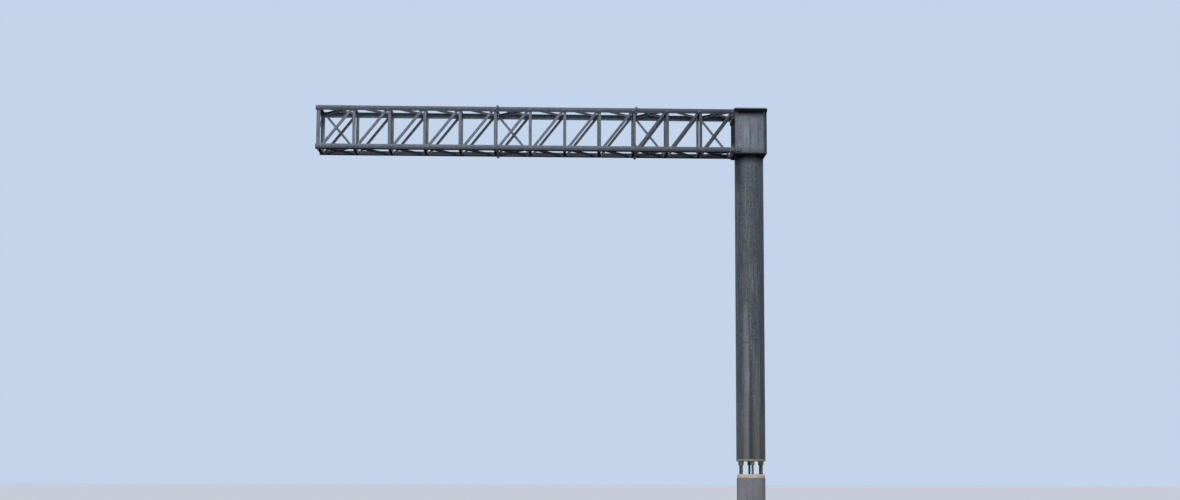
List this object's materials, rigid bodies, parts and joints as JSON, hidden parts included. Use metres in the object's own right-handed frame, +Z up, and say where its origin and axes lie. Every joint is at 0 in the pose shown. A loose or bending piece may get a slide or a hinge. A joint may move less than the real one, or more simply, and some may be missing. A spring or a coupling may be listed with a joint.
{
  "type": "overhead sign gantry",
  "caption": "Cantilever overhead sign gantry: a round steel column on a concrete plinth, with a plated box head and an open box-truss arm of bolted steel angles reaching over the road.",
  "frame": {"origin": "on the column's axis at the underside of the plinth", "axes": "+Z up the column; the arm runs along -X; the front, where a sign would hang, faces -Y"},
  "size_m": [9.539, 0.736, 8.706],
  "materials": {
    "concrete": "cast concrete, weathered",
    "mortar": "trowelled mortar, pale",
    "anchor_steel": "galvanised rod, dull with rust stain",
    "base_steel": "galvanised plate, stained",
    "column_steel": "weathered galvanised steel, streaked",
    "head_steel": "weathered galvanised plate, streaked",
    "head_dark_steel": "dark stained steel",
    "root_steel": "dark stained steel",
    "chord_steel": "weathered galvanised angle",
    "lattice_steel": "weathered galvanised angle"
  },
  "bodies": {
    "root": {"plinth": "concrete", "mortar_pad": "mortar", "anchor_rods": "anchor_steel", "levelling_nuts": "anchor_steel", "clamping_nuts": "anchor_steel", "base_plate": "base_steel", "column_tube": "column_steel", "head_floor_plate": "head_steel", "head_arm_channel": "head_steel", "head_front_plate": "head_steel", "head_back_plate": "head_steel", "head_outer_channel": "head_dark_steel", "head_cap": "head_dark_steel", "root_top_plate": "root_steel", "root_bottom_plate": "root_steel", "root_lap_plates": "chord_steel", "tip_front_top_chord": "chord_steel", "tip_front_bottom_chord": "chord_steel", "tip_back_top_chord": "chord_steel", "tip_back_bottom_chord": "chord_steel", "middle_front_top_chord": "chord_steel", "middle_front_bottom_chord": "chord_steel", "middle_back_top_chord": "chord_steel", "middle_back_bottom_chord": "chord_steel", "root_front_top_chord": "chord_steel", "root_front_bottom_chord": "chord_steel", "root_back_top_chord": "chord_steel", "root_back_bottom_chord": "chord_steel", "tip_front_lattice": "lattice_steel", "tip_back_lattice": "lattice_steel", "tip_top_lattice": "lattice_steel", "tip_bottom_lattice": "lattice_steel", "middle_front_lattice": "lattice_steel", "middle_back_lattice": "lattice_steel", "middle_top_lattice": "lattice_steel", "middle_bottom_lattice": "lattice_steel", "root_front_lattice": "lattice_steel", "root_back_lattice": "lattice_steel", "root_top_lattice": "lattice_steel", "root_bottom_lattice": "lattice_steel", "tip_end_brace": "lattice_steel"}
  },
  "joints": []
}
